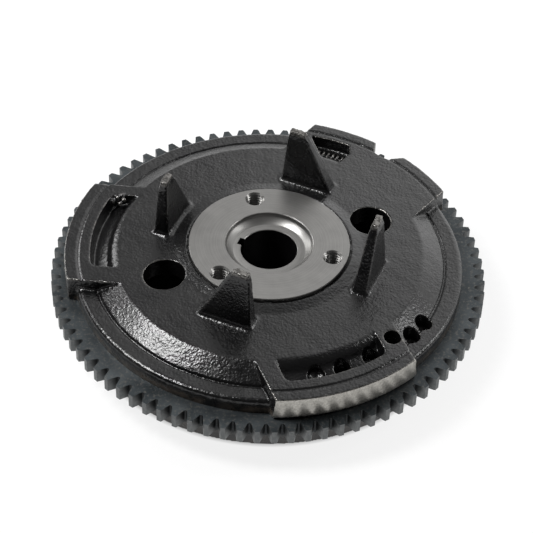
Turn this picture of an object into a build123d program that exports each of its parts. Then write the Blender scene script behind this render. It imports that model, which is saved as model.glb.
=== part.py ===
from build123d import *
import math
import os

os.makedirs("parts", exist_ok=True)

# Flywheel of a small petrol engine. Millimetres, +Z up (fan side), the crankshaft
# axis is Z and z = 0 is the plane of the rim's lower edge, on which it rests.

# ---- starter ring gear
teeth = 85
diametral_pitch_mm = 25.4 / 10
pitch_radius = teeth * diametral_pitch_mm / 2
tip_radius = 110.5
root_radius = 105.2
pressure_angle = math.radians(20)
tooth_share = 0.54
ring_seat_radius = 98.6
ring_width = 8.0
ring_top = 24.0
first_tooth_angle = 1.83

# ---- rim and skirt
skirt_radius = 97.2
skirt_bore_radius = 84.5
land_top = 32.0
land_inner_radius = 90.2
groove_inner_radius = 89.0
plateau_radius = 103.3
timing_radius = 102.5
timing_angle = 294
seat_gap = 0.9
plateau_spots = ((53, 42.4), (174, 36.3), (294, 36.3))
plateau_draft = 5
pocket_outer_radius = 90.8
pocket_spans = ((174, -29.0, 25.6), (294, -27.5, 25.6))

# ---- web, hub and bore
web_edge_radius = 76.3
lip_radius = 78.7
web_edge_top = 38.4
web_fall = 0.045
web_rise_radius = 48.0
hub_radius = 40.7
hub_top = 42.5
hub_relief_radius = 41.7
hub_relief_floor = 40.2
hub_relief_lip = 41.2
hub_bottom = 4.0
recess_radius = 22.1
recess_floor = 37.8
bore_small_radius = 14.3
taper_half_angle = math.atan(1 / 16)
key_width = 4.76
key_top_radius = 16.5
key_angle = 161

# ---- holes
fan_screw_circle = 33.35
fan_screw_angle = 104
tap_drill_radius = 3.97
lightening_circle = 56.3
lightening_radius = 10.4
lightening_angle = 23.5
balance_drill_radius = 4.25

# ---- fan drive fins
fin_tip = 72.4
fin_circle = 53.8
fin_length = 30.0
fin_angle = 68.0

# ---- alternator magnets
magnets = 12
magnet_thickness = 8.0
magnet_span = 27.6
magnet_bottom = 2.2
magnet_top = 22.0
cage_bottom = 1.1


def polar(radius, degrees):
    return (radius * math.cos(math.radians(degrees)), radius * math.sin(math.radians(degrees)))


def involute_lag(radius):
    # angle an involute flank falls back between the pitch circle and this radius
    base = pitch_radius * math.cos(pressure_angle)
    spread = math.acos(min(1.0, base / radius))
    return math.tan(spread) - spread - (math.tan(pressure_angle) - pressure_angle)


# ---- ring gear: rolled steel band, teeth hobbed, pressed up against the three plateaus
quarter_pitch = math.pi / teeth * tooth_share
tip_half = quarter_pitch - involute_lag(tip_radius)
root_half = quarter_pitch - involute_lag(root_radius)
gap_tip = math.pi / teeth - tip_half
gap_mid = math.pi / teeth - quarter_pitch
gap_root = math.pi / teeth - root_half

with BuildPart() as ring_gear:
    with BuildSketch(Plane.XY.offset(ring_top - ring_width)):
        Circle(tip_radius)
        Circle(ring_seat_radius, mode=Mode.SUBTRACT)
        with PolarLocations(0, teeth, start_angle=first_tooth_angle + 180 / teeth):
            with BuildSketch(mode=Mode.PRIVATE) as tooth_gap:
                with BuildLine():
                    over = polar(tip_radius + 1, math.degrees(gap_tip) + 0.22)
                    tip = polar(tip_radius, math.degrees(gap_tip))
                    mid = polar(pitch_radius, math.degrees(gap_mid))
                    foot = polar(root_radius + 0.7, math.degrees(gap_root) + 0.03)
                    base = (root_radius, 0)
                    Line(over, tip)
                    ThreePointArc(tip, polar(pitch_radius + 1.3, math.degrees(gap_mid) + 0.215), mid)
                    Line(mid, foot)
                    ThreePointArc(foot, base, (foot[0], -foot[1]))
                    Line((foot[0], -foot[1]), (mid[0], -mid[1]))
                    Line((mid[0], -mid[1]), (tip[0], -tip[1]))
                    Line((tip[0], -tip[1]), (over[0], -over[1]))
                    Line((over[0], -over[1]), over)
                make_face()
            add(tooth_gap.sketch, mode=Mode.SUBTRACT)
    extrude(amount=ring_width)
ring_gear.part.label = "ring_gear"
export_step(ring_gear.part, "parts/ring_gear.step")


hanging = (Align.CENTER, Align.CENTER, Align.MAX)
standing = (Align.CENTER, Align.CENTER, Align.MIN)


def at(shape, spots, reach=0.05):
    return [v for v in shape.vertices() if any(math.dist((v.X, v.Y), s) < reach for s in spots)]


def block_plane(degrees, height):
    # plane facing up whose local x runs outward and local y runs counter-clockwise
    return Plane(origin=(0, 0, height), x_dir=(*polar(1, degrees), 0), z_dir=(0, 0, 1))


def web_height(radius):
    return web_edge_top - (radius - web_edge_radius) * web_fall


# ---- space above the low land of the rim; three parallel-sided plateaus stand up out of it
with BuildPart() as land_space:
    with BuildSketch(Plane.XZ):
        with BuildLine():
            Polyline(
                (74.0, 40.0),
                (lip_radius, web_height(lip_radius) - 0.3),
                (groove_inner_radius - 0.4, land_top + 0.5),
                (groove_inner_radius, land_top - 0.7),
                (land_inner_radius, land_top - 0.7),
                (land_inner_radius, land_top),
                (ring_seat_radius, land_top),
                (ring_seat_radius, ring_top - 0.5),
                (plateau_radius + 2, ring_top - 0.5),
                (plateau_radius + 2, 44),
                (74.0, 44),
                close=True,
            )
        space = make_face()
        fillet(at(space, [(ring_seat_radius, land_top)]), 2.4)
        fillet(at(space, [(lip_radius, web_height(lip_radius) - 0.3)]), 3.5)
    revolve(axis=Axis.Z)
    for angle, half_width in plateau_spots:
        with BuildSketch(block_plane(angle, ring_top - 3)):
            with Locations((90, 0)):
                Rectangle(60, 2 * half_width + 3.0)
        extrude(amount=26, taper=plateau_draft, mode=Mode.SUBTRACT)

# ---- cored pockets in the plateaus, deepest along their outer wall
with BuildPart() as pockets:
    for angle, start, end in pocket_spans:
        with BuildSketch(block_plane(angle, 40)) as plan:
            with Locations((85, (start + end) / 2)):
                Rectangle(40, end - start)
            Circle(pocket_outer_radius, mode=Mode.INTERSECT)
            rim_corners = [v for v in plan.vertices() if math.hypot(v.X, v.Y) > pocket_outer_radius - 0.1]
            fillet(rim_corners, 3.5)
        extrude(amount=-20, taper=12)
    with BuildSketch(block_plane(54, 40)):
        with BuildLine():
            Polyline(
                (73, 20),
                (92, 45.8),
                (99, 45.8),
                (99, 20.6),
                (89.8, 13.9),
                (85.8, 11),
                (73, 11.2),
                close=True,
            )
        make_face()
    extrude(amount=-20, taper=4)
    with BuildSketch(Plane.XZ):
        with BuildLine():
            Polyline(
                (74.8, 40),
                (74.8, 38.8),
                (77.6, 37.9),
                (79.4, 36.6),
                (81.6, 33.4),
                (88.0, 30.8),
                (pocket_outer_radius + 2, 30.8),
                (pocket_outer_radius + 2, 40),
                close=True,
            )
        floor = make_face()
        fillet(at(floor, [(77.6, 37.9), (79.4, 36.6)]), 3.0)
        fillet(at(floor, [(81.6, 33.4)]), 1.5)
    revolve(axis=Axis.Z, mode=Mode.INTERSECT)

# ---- one fan drive fin: a tapering blade, steep at one end and sloping away at the other
with BuildPart() as fin:
    with BuildSketch(Plane.XY.offset(36)):
        Rectangle(8.4, fin_length)
    with BuildSketch(Plane.XY.offset(fin_tip)):
        with Locations((-0.4, 8.0)):
            Rectangle(4.2, 8.8)
    loft()
    fillet(fin.edges().filter_by(lambda e: e.length > 34), 1.3)

# ---- flywheel body: one grey-iron casting, turned on its hub, bore and ring seat
with BuildPart() as body:
    with BuildSketch(Plane.XZ):
        with BuildLine():
            Polyline(
                (bore_small_radius, recess_floor),
                (18.2, recess_floor),
                (21.5, recess_floor + 2.5),
                (recess_radius, hub_top),
                (hub_radius, hub_top),
                (hub_radius, hub_relief_floor),
                (hub_relief_radius, hub_relief_floor),
                (hub_relief_radius, hub_relief_lip),
                (web_rise_radius, web_height(web_rise_radius)),
                (95.6, web_height(95.6)),
                (96.0, web_height(96.0) - 0.6),
                (96.9, web_height(96.9) - 0.6),
                (97.3, web_height(97.3)),
                (plateau_radius, web_height(plateau_radius)),
                (plateau_radius, ring_top + seat_gap),
                (101.2, ring_top + seat_gap),
                (101.2, ring_top),
                (ring_seat_radius, ring_top),
                (ring_seat_radius, ring_top - ring_width - 0.5),
                (skirt_radius, ring_top - ring_width - 1.5),
                (skirt_radius, 0),
                (skirt_bore_radius, 0),
                (skirt_bore_radius, magnet_top),
                (74.5, magnet_top),
                (71.5, 28.2),
                (46, 29.0),
                (29, 26.5),
                (26, hub_bottom),
                (bore_small_radius + (recess_floor - hub_bottom) / 16, hub_bottom),
                close=True,
            )
        section = make_face()
        fillet(at(section, [(hub_relief_radius, hub_relief_lip)]), 0.4)
        fillet(at(section, [(web_rise_radius, web_height(web_rise_radius))]), 12)
        fillet(at(section, [(74.5, magnet_top), (29, 26.5)]), 2.0)
        fillet(at(section, [(71.5, 28.2), (46, 29.0)]), 3.0)
        chamfer(at(section, [(skirt_radius, 0), (skirt_bore_radius, 0)]), 1.0)
        chamfer(at(section, [(hub_radius, hub_top), (26, hub_bottom)]), 0.4)
        chamfer(at(section, [(plateau_radius, web_height(plateau_radius))]), 0.8)
        chamfer(at(section, [(recess_radius, hub_top), (bore_small_radius, recess_floor)]), 0.3)
    revolve(axis=Axis.Z)
    add(land_space.part, mode=Mode.SUBTRACT)
    with PolarLocations(fin_circle, 4, start_angle=fin_angle):
        add(fin.part)
    # generous cast radius where each fin grows out of the web
    fin_spots = [polar(fin_circle, fin_angle + 90 * quarter) for quarter in range(4)]
    fin_roots = body.edges().filter_by(
        lambda e: 38 < e.center().Z < 41
        and e.length < 27
        and min(math.dist((e.center().X, e.center().Y), spot) for spot in fin_spots) < 17
    )
    fillet(fin_roots, 2.6)
    add(pockets.part, mode=Mode.SUBTRACT)

    # the plateau that passes the ignition pick-up is turned; the other two stay as cast
    with BuildSketch(block_plane(timing_angle, ring_top)):
        with Locations((plateau_radius, 0)):
            Rectangle(30, 80)
        Circle(timing_radius, mode=Mode.SUBTRACT)
    extrude(amount=18, mode=Mode.SUBTRACT)

    # scallop left in the outer edge of the widest plateau
    with BuildSketch(Plane.XY.offset(ring_top)):
        with BuildLine():
            Polyline(
                polar(104.5, 57.6),
                polar(95.4, 55.1),
                polar(95.4, 50.4),
                polar(104.5, 46.6),
                close=True,
            )
        scallop = make_face()
        fillet(at(scallop, [polar(95.4, 55.1), polar(95.4, 50.4)]), 3.5)
    extrude(amount=20, mode=Mode.SUBTRACT)

    # two lightening holes right through the web
    with PolarLocations(lightening_circle, 2, start_angle=lightening_angle):
        with Locations((0, 0, 45)):
            Hole(lightening_radius, 30)

    # three tapped holes in the hub face for the fan screws
    with PolarLocations(fan_screw_circle, 3, start_angle=fan_screw_angle):
        with Locations((0, 0, hub_top)):
            Hole(tap_drill_radius, 30)
            Cone(tap_drill_radius, 5.0, 0.8, align=hanging, mode=Mode.SUBTRACT)

    # keyway, cut parallel to the taper
    key_side = (*polar(1, key_angle - 90), 0)
    with BuildSketch(Plane(origin=(0, 0, 0), x_dir=(*polar(1, key_angle), 0), z_dir=key_side)):
        with BuildLine():
            Polyline(
                (0, 50),
                (key_top_radius, 50),
                (key_top_radius, recess_floor),
                (key_top_radius + 2.2, 0),
                (0, 0),
                close=True,
            )
        make_face()
    extrude(amount=key_width / 2, both=True, mode=Mode.SUBTRACT)

    # balancing drillings: three in the front pocket, one beside it, two in the land next to it
    for radius, angle, floor_height in (
        (84.5, 287.0, 30.6),
        (84.5, 296.2, 25.6),
        (84.5, 307.2, 25.6),
        (84.9, 316.1, 25.6),
        (88.2, 323.6, 25.6),
        (88.5, 330.6, 25.6),
    ):
        with Locations((*polar(radius, angle), floor_height)):
            Cylinder(balance_drill_radius, 20, align=standing, mode=Mode.SUBTRACT)
            Cone(0.05, balance_drill_radius, 2.4, align=hanging, mode=Mode.SUBTRACT)
body.part.label = "flywheel_body"
export_step(body.part, "parts/flywheel_body.step")

# ---- alternator magnets: ferrite arcs bonded to the inside of the skirt
for number in range(magnets):
    with BuildPart() as magnet:
        with BuildSketch(Plane.XZ):
            with Locations((skirt_bore_radius - magnet_thickness / 2, (magnet_bottom + magnet_top) / 2)):
                Rectangle(magnet_thickness, magnet_top - magnet_bottom)
        revolve(axis=Axis.Z, revolution_arc=magnet_span)
        uprights = magnet.edges().filter_by(Axis.Z)
        chamfer(uprights.sort_by(lambda e: math.hypot(e.center().X, e.center().Y))[:2], 1.2)
    turned = magnet.part.rotate(Axis.Z, number * 360 / magnets - magnet_span / 2)
    turned.label = f"magnet_{number + 1:02d}"
    export_step(turned, f"parts/{turned.label}.step")

# ---- magnet cage: moulded ring whose posts keep the magnets evenly apart
magnet_inner_radius = skirt_bore_radius - magnet_thickness
with BuildPart() as magnet_cage:
    with BuildSketch(Plane.XY.offset(cage_bottom)):
        Circle(skirt_bore_radius)
        Circle(magnet_inner_radius, mode=Mode.SUBTRACT)
    extrude(amount=magnet_bottom - cage_bottom)
    with BuildSketch(Plane.XY.offset(magnet_bottom)):
        with PolarLocations(0, magnets, start_angle=180 / magnets):
            with Locations((skirt_bore_radius - magnet_thickness / 2, 0)):
                Rectangle(magnet_thickness - 1.4, 2.6)
    extrude(amount=magnet_top - magnet_bottom - 0.6)
magnet_cage.part.label = "magnet_cage"
export_step(magnet_cage.part, "parts/magnet_cage.step")
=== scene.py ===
import bmesh
import bpy
import math
import numpy as np
from mathutils import Matrix, Vector


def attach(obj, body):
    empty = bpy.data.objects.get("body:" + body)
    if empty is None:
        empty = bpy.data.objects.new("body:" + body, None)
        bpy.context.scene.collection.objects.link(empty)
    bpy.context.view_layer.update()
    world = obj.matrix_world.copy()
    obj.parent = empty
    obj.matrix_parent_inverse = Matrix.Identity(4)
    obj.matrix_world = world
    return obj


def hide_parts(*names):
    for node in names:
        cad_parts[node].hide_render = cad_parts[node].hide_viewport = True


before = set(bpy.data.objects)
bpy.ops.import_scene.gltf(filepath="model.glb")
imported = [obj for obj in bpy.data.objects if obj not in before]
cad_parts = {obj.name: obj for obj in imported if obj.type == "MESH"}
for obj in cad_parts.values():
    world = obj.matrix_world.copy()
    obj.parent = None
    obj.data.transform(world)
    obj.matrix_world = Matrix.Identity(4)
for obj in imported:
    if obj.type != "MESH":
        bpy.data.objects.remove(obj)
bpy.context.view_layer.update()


# ---------------------------------------------------------------- flywheel body, as cast
# One grey-iron sand casting: dished web, rim with three raised plateaus, four fan drive fins and
# the skirt. Its skin keeps the grain of the sand, every corner is slightly rounded, and all but
# the machined places is sprayed with thin satin black paint.
timing_radius = 0.1025
timing_span = (math.radians(-88), math.radians(-44))
hub_cut_radius = 0.0412
boss_cut_radius = 0.0254
flange_underside = 0.031
sand_grain = 0.00006
cast_voxel = 0.0005
pad_rows = ((0.0835, 0.0325), (0.0872, 0.0315))
pads_per_row = 8
pad_scale = (2.3, 1.3, 2.6, 1)
beads = (
    (0.0832, 156.2, 0.0374, 0.0013),
    (0.0856, 154.6, 0.0373, 0.0016),
    (0.0874, 155.4, 0.0362, 0.0018),
    (0.0888, 157.2, 0.0352, 0.0014),
    (0.0844, 157.6, 0.0358, 0.0013),
)


def around_axis(radius, degrees, height):
    turn = math.radians(degrees)
    return Vector((radius * math.cos(turn), radius * math.sin(turn), height))


cast_shape = bmesh.new()
cast_shape.from_mesh(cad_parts["flywheel_body"].data)
# two rows of plain raised pads in the far plateau's pocket
for row, floor_height in pad_rows:
    for column in range(pads_per_row):
        azimuth = 64.3 + 1.75 * column
        square_on = Matrix.Rotation(math.radians(azimuth), 4, "Z")
        pad = Matrix.Translation(around_axis(row, azimuth, floor_height)) @ square_on
        bmesh.ops.create_cube(cast_shape, size=0.001, matrix=pad @ Matrix.Diagonal(pad_scale))
# beads of iron where the end of the left pocket's core had crumbled, each turned differently
for radius, azimuth, height, size in beads:
    bead = Matrix.Translation(around_axis(radius, azimuth, height)) @ Matrix.Rotation(azimuth, 4, "X")
    bmesh.ops.create_icosphere(cast_shape, subdivisions=2, radius=size, matrix=bead)
cast_mesh = bpy.data.meshes.new("cast_shape")
cast_shape.to_mesh(cast_mesh)
cast_shape.free()
casting = bpy.data.objects.new("flywheel_casting", cast_mesh)
bpy.context.scene.collection.objects.link(casting)
remesh = casting.modifiers.new("even_skin", "REMESH")
remesh.mode = "VOXEL"
remesh.voxel_size = cast_voxel
soften = casting.modifiers.new("cast_corners", "SMOOTH")
soften.factor = 0.5
soften.iterations = 3
skin = bpy.data.meshes.new_from_object(casting.evaluated_get(bpy.context.evaluated_depsgraph_get()))
casting.modifiers.clear()
casting.data = skin
skin.name = "flywheel_casting"

# the hub is turned, so its faces are left to the machined hub below
cut = bmesh.new()
cut.from_mesh(skin)
turned_away = []
for face in cut.faces:
    middle = face.calc_center_median()
    radius = math.hypot(middle.x, middle.y)
    if radius < boss_cut_radius or (radius < hub_cut_radius and middle.z > flange_underside):
        turned_away.append(face)
bmesh.ops.delete(cut, geom=turned_away, context="FACES")
cut.to_mesh(skin)
cut.free()

places = np.empty(len(skin.vertices) * 3)
skin.vertices.foreach_get("co", places)
places = places.reshape(-1, 3)
radii = np.hypot(places[:, 0], places[:, 1])
turns = np.arctan2(places[:, 1], places[:, 0])
on_timing_face = (radii > timing_radius - 0.0005) & (turns > timing_span[0]) & (turns < timing_span[1])
# the lathe left the timing face truly round
turned_true = on_timing_face & (places[:, 2] > 0.0256) & (places[:, 2] < 0.0365)
places[turned_true, :2] *= (timing_radius / radii[turned_true])[:, None]
skin.vertices.foreach_set("co", places.ravel())
machined = on_timing_face | (places[:, 2] < 0.0012) | ((radii > 0.0966) & (places[:, 2] < 0.0235))
machined |= radii < hub_cut_radius + 0.0008
grain_weight = np.where(machined, 0.0, 1.0)
tip_weight = np.clip((places[:, 2] - 0.0675) / 0.003, 0, 1)

# how far each point stands out from the surface averaged around it: corners above zero, roots below
edge_ends = np.empty(len(skin.edges) * 2, int)
skin.edges.foreach_get("vertices", edge_ends)
near_end, far_end = edge_ends.reshape(-1, 2).T
both_ends = np.concatenate((near_end, far_end))
other_ends = np.concatenate((far_end, near_end))
neighbours = np.maximum(np.bincount(both_ends, minlength=len(places)), 1)
averaged = places.copy()
for step in range(14):
    for axis in range(3):
        averaged[:, axis] = np.bincount(both_ends, averaged[other_ends, axis], len(places)) / neighbours
outward = np.empty(len(skin.vertices) * 3)
skin.vertices.foreach_get("normal", outward)
standing_out = np.einsum("ij,ij->i", places - averaged, outward.reshape(-1, 3))
corner = skin.attributes.new("corner", "FLOAT", "POINT")
corner.data.foreach_set("value", standing_out * 1000)

as_cast = casting.vertex_groups.new(name="as_cast")
fin_tips = casting.vertex_groups.new(name="fin_tips")
for group, weights in ((as_cast, grain_weight), (fin_tips, tip_weight)):
    for level in np.unique(np.round(weights[weights > 0], 1)):
        chosen = np.nonzero(np.isclose(np.round(weights, 1), level) & (weights > 0))[0]
        group.add(chosen.tolist(), float(level), "REPLACE")

# sand skin, slow waviness of the mould, and fin tips left ragged where the risers were broken off
for name, size, strength, group in (
    ("sand_skin", 0.0012, 0.00012, "as_cast"),
    ("mould_waviness", 0.008, 0.00022, "as_cast"),
    ("broken_riser", 0.0019, 0.0011, "fin_tips"),
):
    texture = bpy.data.textures.new(name, "CLOUDS")
    texture.noise_scale = size
    texture.noise_depth = 1
    push = casting.modifiers.new(name, "DISPLACE")
    push.texture = texture
    push.texture_coords = "LOCAL"
    push.mid_level = 0.5 if name != "broken_riser" else 1.0
    push.strength = strength
    push.vertex_group = group
for face in skin.polygons:
    face.use_smooth = True


def new_material(name):
    material = bpy.data.materials.new(name)
    material.use_nodes = True
    nodes = material.node_tree.nodes
    nodes.clear()
    output = nodes.new("ShaderNodeOutputMaterial")
    shader = nodes.new("ShaderNodeBsdfPrincipled")
    material.node_tree.links.new(shader.outputs[0], output.inputs["Surface"])
    return material, material.node_tree, shader


def new_group(name, inputs, outputs):
    group = bpy.data.node_groups.new(name, "ShaderNodeTree")
    for label, value in inputs:
        socket = group.interface.new_socket(label, in_out="INPUT", socket_type="NodeSocketFloat")
        socket.default_value = value
    for label in outputs:
        group.interface.new_socket(label, in_out="OUTPUT", socket_type="NodeSocketFloat")
    return group, group.nodes.new("NodeGroupInput"), group.nodes.new("NodeGroupOutput")


def feed(tree, socket, value):
    # joins another node's output to the socket, or sets its value
    if isinstance(value, bpy.types.NodeSocket):
        tree.links.new(value, socket)
    else:
        socket.default_value = value


def add(tree, kind, values=None, **settings):
    node = tree.nodes.new(kind)
    for name, value in settings.items():
        setattr(node, name, value)
    for name, value in (values or {}).items():
        feed(tree, node.inputs[name], value)
    return node


def calc(tree, operation, *values, clamp=False):
    settings = {"operation": operation, "use_clamp": clamp}
    return add(tree, "ShaderNodeMath", dict(enumerate(values)), **settings).outputs[0]


def remap(tree, value, low, high, to_low=0.0, to_high=1.0):
    limits = {"Value": value, "From Min": low, "From Max": high, "To Min": to_low, "To Max": to_high}
    return add(tree, "ShaderNodeMapRange", limits).outputs[0]


def noise(tree, place, scale, detail, roughness=0.5):
    values = {"Vector": place, "Scale": scale, "Detail": detail, "Roughness": roughness}
    return add(tree, "ShaderNodeTexNoise", values).outputs[0]


def two_tone(tree, value, low_at, low_colour, high_at, high_colour):
    ramp = add(tree, "ShaderNodeValToRGB", {0: value})
    ramp.color_ramp.elements[0].position = low_at
    ramp.color_ramp.elements[0].color = (*low_colour, 1)
    ramp.color_ramp.elements[1].position = high_at
    ramp.color_ramp.elements[1].color = (*high_colour, 1)
    return ramp.outputs[0]


def cover(tree, mask, under, over):
    # the colour under, hidden by the colour over where the mask is 1
    mix = add(tree, "ShaderNodeMix", {"Factor": mask, "A": under, "B": over}, data_type="RGBA")
    return mix.outputs["Result"]


def axis_distance(tree, place):
    flat = add(tree, "ShaderNodeVectorMath", {0: place, 1: (1, 1, 0)}, operation="MULTIPLY")
    return add(tree, "ShaderNodeVectorMath", {0: flat.outputs[0]}, operation="LENGTH").outputs["Value"]


def finish(tree, shader, colour, roughness, height, strength, distance):
    bump = add(tree, "ShaderNodeBump", {"Height": height, "Strength": strength, "Distance": distance})
    tree.links.new(colour, shader.inputs["Base Color"])
    tree.links.new(roughness, shader.inputs["Roughness"])
    tree.links.new(bump.outputs[0], shader.inputs["Normal"])


# sand-cast grain: fine pitted skin on top of slow lumps
cast_grain, grain_in, grain_out = new_group(
    "cast_grain",
    (("Fineness", 950.0), ("Pitting", 0.5)),
    ("Height", "Patches"),
)
where = add(cast_grain, "ShaderNodeTexCoord").outputs["Object"]
fine = noise(cast_grain, where, grain_in.outputs["Fineness"], 1.0)
pit_scale = calc(cast_grain, "MULTIPLY", grain_in.outputs["Fineness"], 0.62)
pit_values = {"Vector": where, "Scale": pit_scale, "Smoothness": 0.6}
pits = add(cast_grain, "ShaderNodeTexVoronoi", pit_values, feature="SMOOTH_F1").outputs["Distance"]
pit_depth = calc(cast_grain, "MULTIPLY", pits, grain_in.outputs["Pitting"])
cast_grain.links.new(calc(cast_grain, "ADD", fine, pit_depth), grain_out.inputs["Height"])
cast_grain.links.new(noise(cast_grain, where, 46.0, 4.0), grain_out.inputs["Patches"])

# rubbed corners: where the surface stands out and the noise lets it show
rubbed_edges, rub_in, rub_out = new_group(
    "rubbed_edges",
    (("From", 0.33), ("To", 0.5), ("Scale", 420.0)),
    ("Mask",),
)
stands_out = add(rubbed_edges, "ShaderNodeAttribute", attribute_name="corner").outputs["Fac"]
rub_place = add(rubbed_edges, "ShaderNodeTexCoord").outputs["Object"]
scatter = calc(rubbed_edges, "SUBTRACT", noise(rubbed_edges, rub_place, rub_in.outputs["Scale"], 4.0), 0.52)
nudged = calc(rubbed_edges, "MULTIPLY_ADD", scatter, 0.55, stands_out)
rubbed_off = remap(rubbed_edges, nudged, rub_in.outputs["From"], rub_in.outputs["To"])
not_flat = remap(rubbed_edges, stands_out, 0.16, 0.26)
rubbed_edges.links.new(calc(rubbed_edges, "MULTIPLY", rubbed_off, not_flat), rub_out.inputs["Mask"])

black_casting, tree, paint = new_material("black_cast_paint")
grain = add(tree, "ShaderNodeGroup", node_tree=cast_grain)
rubbed = add(tree, "ShaderNodeGroup", node_tree=rubbed_edges)
spot = add(tree, "ShaderNodeTexCoord").outputs["Object"]
spot_height = add(tree, "ShaderNodeSeparateXYZ", {0: spot}).outputs["Z"]
black = two_tone(tree, grain.outputs["Patches"], 0.3, (0.002, 0.002, 0.0023), 0.72, (0.005, 0.0048, 0.0048))
# thin brown bloom on the rim wall just above the ring gear
low_wall = remap(tree, spot_height, 0.0292, 0.0262)
outer_wall = remap(tree, axis_distance(tree, spot), 0.0965, 0.0982)
bloom_area = calc(tree, "MULTIPLY", low_wall, outer_wall)
bloom = calc(tree, "MULTIPLY", bloom_area, remap(tree, noise(tree, spot, 120.0, 6.0), 0.36, 0.6))
rusty = cover(tree, bloom, black, (0.06, 0.048, 0.038, 1))
# bare iron on rubbed corners and on the broken fin tips
bare = calc(tree, "MAXIMUM", rubbed.outputs["Mask"], remap(tree, spot_height, 0.0695, 0.0708), clamp=True)
worn = cover(tree, bare, rusty, (0.13, 0.125, 0.118, 1))
tree.links.new(calc(tree, "MULTIPLY", bare, 0.8), paint.inputs["Metallic"])
satin = remap(tree, grain.outputs["Patches"], 0.3, 0.7, 0.22, 0.3)
finish(tree, paint, worn, satin, grain.outputs["Height"], 1.0, sand_grain * 2.8)
paint.inputs["IOR"].default_value = 1.5

skin.materials.clear()
skin.materials.append(black_casting)
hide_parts("flywheel_body")
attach(casting, "root")

# timing segment: the front plateau's outer wall is turned bare to run close past the ignition pick-up
bare_iron, tree, iron = new_material("turned_bare_iron")
iron_grain = add(tree, "ShaderNodeGroup", node_tree=cast_grain)
iron_grain.inputs["Fineness"].default_value = 1300.0
iron_tone = two_tone(tree, iron_grain.outputs["Height"], 0.35, (0.24, 0.23, 0.21), 0.95, (0.47, 0.455, 0.42))
iron_satin = remap(tree, iron_grain.outputs["Patches"], 0.3, 0.7, 0.3, 0.42)
finish(tree, iron, iron_tone, iron_satin, iron_grain.outputs["Height"], 0.3, sand_grain / 2)
iron.inputs["Metallic"].default_value = 0.85
skin.materials.append(bare_iron)
normals = np.empty(len(skin.polygons) * 3)
skin.polygons.foreach_get("normal", normals)
middles = np.empty(len(skin.polygons) * 3)
skin.polygons.foreach_get("center", middles)
normals, middles = normals.reshape(-1, 3), middles.reshape(-1, 3)
reach_out = np.hypot(middles[:, 0], middles[:, 1])
facing_out = (normals[:, 0] * middles[:, 0] + normals[:, 1] * middles[:, 1]) / reach_out
azimuths = np.arctan2(middles[:, 1], middles[:, 0])
bare_face = (reach_out > timing_radius - 0.0009) & (facing_out > 0.62) & (middles[:, 2] > 0.0245)
bare_face &= (azimuths > timing_span[0]) & (azimuths < timing_span[1])
skin.polygons.foreach_set("material_index", bare_face.astype(np.int32))


# ---------------------------------------------------------------- machined hub of the casting
# The same casting where the lathe has been: fan face, washer recess, crankshaft taper and the boss
# below. Bare bright iron with fine turning marks, three tapped holes and a broached keyway.
hub_top = 0.0425
recess_floor = 0.0378
bore_radius = 0.0143
boss_bottom = 0.004
large_end = bore_radius + (recess_floor - boss_bottom) / 16
fan_screw_circle = 0.03335
fan_screw_azimuths = (104, 224, 344)
thread_minor = 0.00397
thread_major = 0.00482
thread_pitch = 0.0015875
tapped_mouth = 0.0051
tap_depth = 0.018
key_half_width = 0.00238
key_azimuth = 161
hub_outline = (
    (bore_radius + 0.0003, recess_floor),
    (0.0180, recess_floor),
    (0.0184, recess_floor + 0.0001),
    (0.0212, recess_floor + 0.0023),
    (0.0217, recess_floor + 0.0029),
    (0.02205, hub_top - 0.0003),
    (0.0224, hub_top),
    (0.0404, hub_top),
    (0.0407, hub_top - 0.0003),
    (0.0407, 0.0402),
    (0.0409, 0.0400),
    (0.0417, 0.0400),
    (0.0417, 0.0330),
    (0.0262, 0.0240),
    (0.0257, boss_bottom + 0.0004),
    (0.0253, boss_bottom),
    (large_end + 0.0004, boss_bottom),
    (large_end, boss_bottom + 0.0004),
    (bore_radius, recess_floor - 0.0003),
)
# the broach follows the taper, so the keyway's floor is nearer the axis at the top
key_top = hub_top - 0.002
key_outline = ((0.0, 0.0), (0.0186, 0.0), (0.0165, recess_floor), (0.0165, key_top), (0.0, key_top))


def turned_solid(name, outline, steps):
    spun = bmesh.new()
    rings = []
    for step in range(steps):
        angle = 2 * math.pi * step / steps
        rings.append([spun.verts.new((r * math.cos(angle), r * math.sin(angle), z)) for r, z in outline])
    for step in range(steps):
        here, after = rings[step], rings[(step + 1) % steps]
        for k in range(len(outline)):
            following = (k + 1) % len(outline)
            spun.faces.new((here[k], after[k], after[following], here[following]))
    bmesh.ops.recalc_face_normals(spun, faces=spun.faces)
    mesh = bpy.data.meshes.new(name)
    spun.to_mesh(mesh)
    spun.free()
    piece = bpy.data.objects.new(name, mesh)
    bpy.context.scene.collection.objects.link(piece)
    return piece


def screw_tap(name, bottom, top):
    # a tap's solid: a cylinder whose radius follows the helix, flared at the mouth
    around, rows = 48, int((top - bottom) / thread_pitch * 10)
    solid = bmesh.new()
    levels = []
    for row in range(rows + 1):
        z = bottom + (top - bottom) * row / rows
        level = []
        for k in range(around):
            phase = (z / thread_pitch - k / around) % 1.0
            ridge = max(0.0, 1.0 - abs(phase - 0.5) / 0.44)
            r = thread_minor + (thread_major - thread_minor) * ridge
            r = max(r, tapped_mouth - max(0.0, hub_top - z))
            angle = 2 * math.pi * k / around
            level.append(solid.verts.new((r * math.cos(angle), r * math.sin(angle), z)))
        levels.append(level)
    for lower, upper in zip(levels, levels[1:]):
        for k in range(around):
            following = (k + 1) % around
            solid.faces.new((lower[k], lower[following], upper[following], upper[k]))
    solid.faces.new(list(reversed(levels[0])))
    solid.faces.new(levels[-1])
    mesh = bpy.data.meshes.new(name)
    solid.to_mesh(mesh)
    solid.free()
    return mesh


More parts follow.
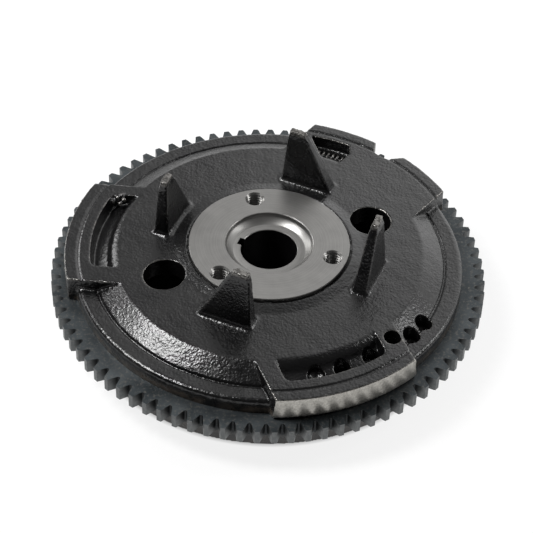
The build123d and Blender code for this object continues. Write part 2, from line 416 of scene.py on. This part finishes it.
def key_broach(name):
    broach = bmesh.new()
    near = [broach.verts.new((r, -key_half_width, z)) for r, z in key_outline]
    far = [broach.verts.new((r, key_half_width, z)) for r, z in key_outline]
    broach.faces.new(near)
    broach.faces.new(list(reversed(far)))
    for k in range(len(key_outline)):
        following = (k + 1) % len(key_outline)
        broach.faces.new((near[following], near[k], far[k], far[following]))
    bmesh.ops.recalc_face_normals(broach, faces=broach.faces)
    mesh = bpy.data.meshes.new(name)
    broach.to_mesh(mesh)
    broach.free()
    return mesh


def carve(piece, cutter):
    cut_away = piece.modifiers.new(cutter.name, "BOOLEAN")
    cut_away.operation = "DIFFERENCE"
    cut_away.solver = "EXACT"
    cut_away.object = cutter


hub = turned_solid("machined_hub", hub_outline, 256)
cutters = []
tap_mesh = screw_tap("tap_three_eighths", tap_depth, hub_top + 0.0006)
for number, azimuth in enumerate(fan_screw_azimuths):
    tap = bpy.data.objects.new(f"tap_{number + 1}", tap_mesh)
    tap.location = around_axis(fan_screw_circle, azimuth, 0)
    cutters.append(tap)
broached = bpy.data.objects.new("key_broach", key_broach("key_broach"))
broached.rotation_euler = (0, 0, math.radians(key_azimuth))
cutters.append(broached)
for cutter in cutters:
    bpy.context.scene.collection.objects.link(cutter)
    carve(hub, cutter)
bpy.context.view_layer.update()
hub_mesh = bpy.data.meshes.new_from_object(hub.evaluated_get(bpy.context.evaluated_depsgraph_get()))
hub.modifiers.clear()
hub.data = hub_mesh
hub_mesh.name = "machined_hub"
for cutter in cutters:
    bpy.data.objects.remove(cutter)

# smooth shading that stays sharp across machined corners
sharp_from = math.radians(28)
edges = bmesh.new()
edges.from_mesh(hub_mesh)
for face in edges.faces:
    face.smooth = True
for line in edges.edges:
    if len(line.link_faces) == 2:
        line.smooth = line.calc_face_angle() < sharp_from
edges.to_mesh(hub_mesh)
edges.free()

# lathe marks: fine rings about the crankshaft axis, a little uneven from pass to pass
lathe_marks, lathe_in, lathe_out = new_group(
    "lathe_marks",
    (("Rings", 2600.0), ("Unevenness", 0.5)),
    ("Height", "Bands"),
)
turned_place = add(lathe_marks, "ShaderNodeTexCoord").outputs["Object"]
turned_height = add(lathe_marks, "ShaderNodeSeparateXYZ", {0: turned_place}).outputs["Z"]
along = calc(lathe_marks, "ADD", axis_distance(lathe_marks, turned_place), turned_height)
ring_place = calc(lathe_marks, "MULTIPLY", along, lathe_in.outputs["Rings"])
ring_values = {"W": ring_place, "Scale": 1.0, "Detail": 3.0}
ring_noise = add(lathe_marks, "ShaderNodeTexNoise", ring_values, noise_dimensions="1D")
smear = noise(lathe_marks, turned_place, 160.0, 3.0)
uneven = calc(lathe_marks, "MULTIPLY", smear, lathe_in.outputs["Unevenness"])
mark_height = calc(lathe_marks, "ADD", ring_noise.outputs[0], uneven)
lathe_marks.links.new(mark_height, lathe_out.inputs["Height"])
lathe_marks.links.new(ring_noise.outputs[0], lathe_out.inputs["Bands"])

turned_face, tree, bright = new_material("turned_hub_face")
marks = add(tree, "ShaderNodeGroup", node_tree=lathe_marks)
mark_tone = two_tone(tree, marks.outputs["Height"], 0.3, (0.155, 0.153, 0.149), 1.0, (0.25, 0.246, 0.237))
# painted shade: the taper below the recess floor is coloured near black for the shadow deep in the bore
hub_place = add(tree, "ShaderNodeTexCoord").outputs["Object"]
hub_height = add(tree, "ShaderNodeSeparateXYZ", {0: hub_place}).outputs["Z"]
inside_bore = calc(tree, "LESS_THAN", axis_distance(tree, hub_place), 0.0192)
bore_shade = calc(tree, "MULTIPLY", remap(tree, hub_height, 0.0376, 0.0372), inside_bore)
tone_with_bore_shade = cover(tree, bore_shade, mark_tone, (0.03, 0.028, 0.03, 1))
bright_satin = remap(tree, marks.outputs["Bands"], 0.3, 0.7, 0.34, 0.42)
finish(tree, bright, tone_with_bore_shade, bright_satin, marks.outputs["Height"], 0.2, 0.00001)
bright.inputs["Metallic"].default_value = 0.92

# tapped threads: bright crests left by the tap, wet with cutting oil
cut_thread, tree, thread = new_material("cut_thread")
thread_marks = add(tree, "ShaderNodeGroup", node_tree=cast_grain)
thread_marks.inputs["Fineness"].default_value = 2400.0
thread_height = thread_marks.outputs["Height"]
thread_tone = two_tone(tree, thread_height, 0.35, (0.1, 0.098, 0.095), 0.9, (0.25, 0.246, 0.238))
thread_satin = remap(tree, thread_marks.outputs["Patches"], 0.3, 0.7, 0.26, 0.36)
finish(tree, thread, thread_tone, thread_satin, thread_height, 0.3, 0.00002)
thread.inputs["Metallic"].default_value = 0.95

# the relief beside the hub and the outside of the boss keep the black paint
turned_slot, painted_slot, thread_slot = 0, 1, 2
hub_mesh.materials.clear()
hub_mesh.materials.append(turned_face)
hub_mesh.materials.append(black_casting)
hub_mesh.materials.append(cut_thread)
hole_centres = [around_axis(fan_screw_circle, azimuth, 0) for azimuth in fan_screw_azimuths]
for face in hub_mesh.polygons:
    radius = math.hypot(face.center.x, face.center.y)
    relief_wall = radius > 0.04065 and face.center.z < 0.0405
    boss_wall = radius > 0.0255 and face.center.z < 0.034 and abs(face.normal.z) < 0.9
    face.material_index = painted_slot if relief_wall or boss_wall else turned_slot
    nearest_hole = min((face.center.xy - centre.xy).length for centre in hole_centres)
    if nearest_hole < tapped_mouth + 0.0001 and face.center.z < hub_top - 0.0002:
        face.material_index = thread_slot
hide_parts("flywheel_body")
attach(hub, "root")


# ---------------------------------------------------------------- starter ring gear
# A rolled and welded steel band with hobbed teeth, heated and pressed up against the plateaus.
# Hardening leaves a dark blue-grey scale, and the hobbed flanks are paler than the rolled faces.
tooth_gap_floor = 0.1062
tooth_flank_top = 0.1092


def ease_edges(piece, name, width, from_degrees):
    bevel = piece.modifiers.new(name, "BEVEL")
    bevel.width = width
    bevel.segments = 2
    bevel.limit_method = "ANGLE"
    bevel.angle_limit = math.radians(from_degrees)


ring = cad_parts["ring_gear"]
ease_edges(ring, "broken_edge", 0.00022, 40)
gear_steel, tree, steel = new_material("hardened_gear_steel")
scale_skin = add(tree, "ShaderNodeGroup", node_tree=cast_grain)
scale_skin.inputs["Fineness"].default_value = 1500.0
scale_skin.inputs["Pitting"].default_value = 0.3
scale_patches = scale_skin.outputs["Patches"]
scale_tone = two_tone(tree, scale_patches, 0.32, (0.019, 0.024, 0.027), 0.7, (0.064, 0.073, 0.078))
gear_spot = add(tree, "ShaderNodeTexCoord")
speckle = noise(tree, gear_spot.outputs["Object"], 620.0, 6.0, 0.7)
speckled = cover(tree, remap(tree, speckle, 0.52, 0.72), scale_tone, (0.12, 0.115, 0.105, 1))
# flanks and tooth lands: pale hobbed steel towards the tips, with painted shade taking them to near black
# down in the gaps
gear_facing = add(tree, "ShaderNodeSeparateXYZ", {0: gear_spot.outputs["Normal"]}).outputs["Z"]
hobbed = remap(tree, calc(tree, "ABSOLUTE", gear_facing), 0.75, 0.3, 0.0, 1.4)
out_of_gap = remap(tree, axis_distance(tree, gear_spot.outputs["Object"]), tooth_gap_floor, tooth_flank_top)
flank_tone_and_gap_shade = cover(tree, out_of_gap, (0.006, 0.0065, 0.007, 1), (0.15, 0.155, 0.155, 1))
gear_tone = cover(tree, calc(tree, "MULTIPLY", hobbed, speckle), speckled, flank_tone_and_gap_shade)
steel_satin = remap(tree, scale_patches, 0.3, 0.7, 0.36, 0.54)
finish(tree, steel, gear_tone, steel_satin, scale_skin.outputs["Height"], 0.6, 0.0001)
steel.inputs["Metallic"].default_value = 0.75
ring.data.materials.clear()
ring.data.materials.append(gear_steel)


# ---------------------------------------------------------------- alternator magnets
# Twelve pressed and sintered ferrite arcs, bonded to the skirt's bore. Their faces are ground, so
# they are smooth charcoal with a faint even grain.
ferrite, tree, ceramic = new_material("ground_ferrite")
ferrite_grain = add(tree, "ShaderNodeGroup", node_tree=cast_grain)
ferrite_grain.inputs["Fineness"].default_value = 2200.0
ferrite_grain.inputs["Pitting"].default_value = 0.2
ferrite_height = ferrite_grain.outputs["Height"]
ferrite_tone = two_tone(tree, ferrite_height, 0.3, (0.045, 0.043, 0.043), 0.8, (0.11, 0.107, 0.105))
ferrite_satin = remap(tree, ferrite_grain.outputs["Patches"], 0.3, 0.7, 0.45, 0.62)
finish(tree, ceramic, ferrite_tone, ferrite_satin, ferrite_height, 0.2, 0.00005)
for number in range(1, 13):
    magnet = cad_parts[f"magnet_{number:02d}"]
    magnet.data.materials.clear()
    magnet.data.materials.append(ferrite)
    ease_edges(magnet, "ground_edge", 0.0003, 35)


# ---------------------------------------------------------------- magnet cage
# A ring with twelve posts, injection-moulded in black glass-filled nylon. It is pushed in with the
# magnets and keeps them evenly apart.
moulded_nylon, tree, nylon = new_material("moulded_nylon")
fibres = noise(tree, add(tree, "ShaderNodeTexCoord").outputs["Object"], 1400.0, 3.0)
nylon_tone = two_tone(tree, fibres, 0.35, (0.014, 0.014, 0.015), 0.75, (0.035, 0.035, 0.037))
finish(tree, nylon, nylon_tone, remap(tree, fibres, 0.3, 0.7, 0.5, 0.62), fibres, 0.25, 0.00004)
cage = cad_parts["magnet_cage"]
cage.data.materials.clear()
cage.data.materials.append(moulded_nylon)
ease_edges(cage, "moulded_edge", 0.00025, 40)


# ---------------------------------------------------------------- studio
# A white sweep under the wheel, a large soft lamp above and behind on the left, and a room that is
# bright behind the wheel and dim on the camera's side.
floor_half = 3.0
floor_corners = [(-floor_half, -floor_half, 0), (floor_half, -floor_half, 0)]
floor_corners += [(floor_half, floor_half, 0), (-floor_half, floor_half, 0)]
floor_mesh = bpy.data.meshes.new("floor")
floor_mesh.from_pydata(floor_corners, [], [(0, 1, 2, 3)])
floor = bpy.data.objects.new("floor", floor_mesh)
bpy.context.scene.collection.objects.link(floor)
floor.location.z = -0.0002
sweep, tree, paper = new_material("white_sweep")
paper.inputs["Base Color"].default_value = (0.14, 0.14, 0.14, 1)
paper.inputs["Roughness"].default_value = 0.9
paper.inputs["Specular IOR Level"].default_value = 0.1
paper.inputs["Emission Color"].default_value = (1, 1, 1, 1)
# the sweep glows everywhere but under the wheel
sweep_place = add(tree, "ShaderNodeTexCoord").outputs["Object"]
sweep_reach = add(tree, "ShaderNodeVectorMath", {0: sweep_place}, operation="LENGTH").outputs["Value"]
tree.links.new(remap(tree, sweep_reach, 0.094, 0.099, 0.0, 0.85), paper.inputs["Emission Strength"])
floor_mesh.materials.append(sweep)

world = bpy.data.worlds.new("studio_room")
bpy.context.scene.world = world
world.use_nodes = True
room = world.node_tree
room.nodes.clear()
room_side = add(room, "ShaderNodeTexCoord").outputs["Generated"]
parts = add(room, "ShaderNodeSeparateXYZ", {0: room_side})


def eased(tree, value, low, high, to_low, to_high):
    limits = {"Value": value, "From Min": low, "From Max": high, "To Min": to_low, "To Max": to_high}
    return add(tree, "ShaderNodeMapRange", limits, interpolation_type="SMOOTHSTEP").outputs[0]


back_to_front = eased(room, parts.outputs["Y"], 0.05, 0.82, 0.07, 1.2)
left_to_right = eased(room, parts.outputs["X"], -0.25, 0.25, 0.4, 1.6)
room_light = calc(room, "MULTIPLY", back_to_front, left_to_right)
backdrop = add(room, "ShaderNodeBackground", {"Strength": room_light, "Color": (1, 1, 1, 1)})
add(room, "ShaderNodeOutputWorld", {"Surface": backdrop.outputs[0]})


def soft_lamp(name, place, aim, size, power):
    lamp = bpy.data.lights.new(name, "AREA")
    lamp.shape = "RECTANGLE"
    lamp.size, lamp.size_y = size
    lamp.energy = power
    holder = bpy.data.objects.new(name, lamp)
    holder.location = place
    holder.rotation_euler = (Vector(aim) - Vector(place)).to_track_quat("-Z", "Y").to_euler()
    bpy.context.scene.collection.objects.link(holder)


soft_lamp("key_softbox", (-0.63, 0.02, 0.97), (0, 0, 0), (0.3, 0.42), 14)
soft_lamp("rear_softbox", (-0.9, 0.75, 0.5), (0, 0, 0.02), (0.3, 0.9), 5)
soft_lamp("right_strip", (0.95, 0.15, 0.6), (0, 0, 0.02), (0.15, 0.8), 4)

# camera: looks down at 44 degrees along +Y, held with a two-degree roll
camera_place = (-0.000956, -0.696914, 0.698645)
tilt = math.radians(44.008)
roll = math.radians(2.008)
forward = Vector((0, math.cos(tilt), -math.sin(tilt)))
level_right = Vector((1, 0, 0))
level_up = Vector((0, math.sin(tilt), math.cos(tilt)))
right = math.cos(roll) * level_right + math.sin(roll) * level_up
up = math.cos(roll) * level_up - math.sin(roll) * level_right
lens = bpy.data.cameras.new("camera")
lens.sensor_width = 36
lens.lens = 128.17
lens.clip_start = 0.05
lens.clip_end = 20
camera = bpy.data.objects.new("camera", lens)
camera.matrix_world = Matrix((
    (right.x, up.x, -forward.x, camera_place[0]),
    (right.y, up.y, -forward.y, camera_place[1]),
    (right.z, up.z, -forward.z, camera_place[2]),
    (0, 0, 0, 1),
))
bpy.context.scene.collection.objects.link(camera)
bpy.context.scene.camera = camera
bpy.context.scene.view_settings.view_transform = "Standard"
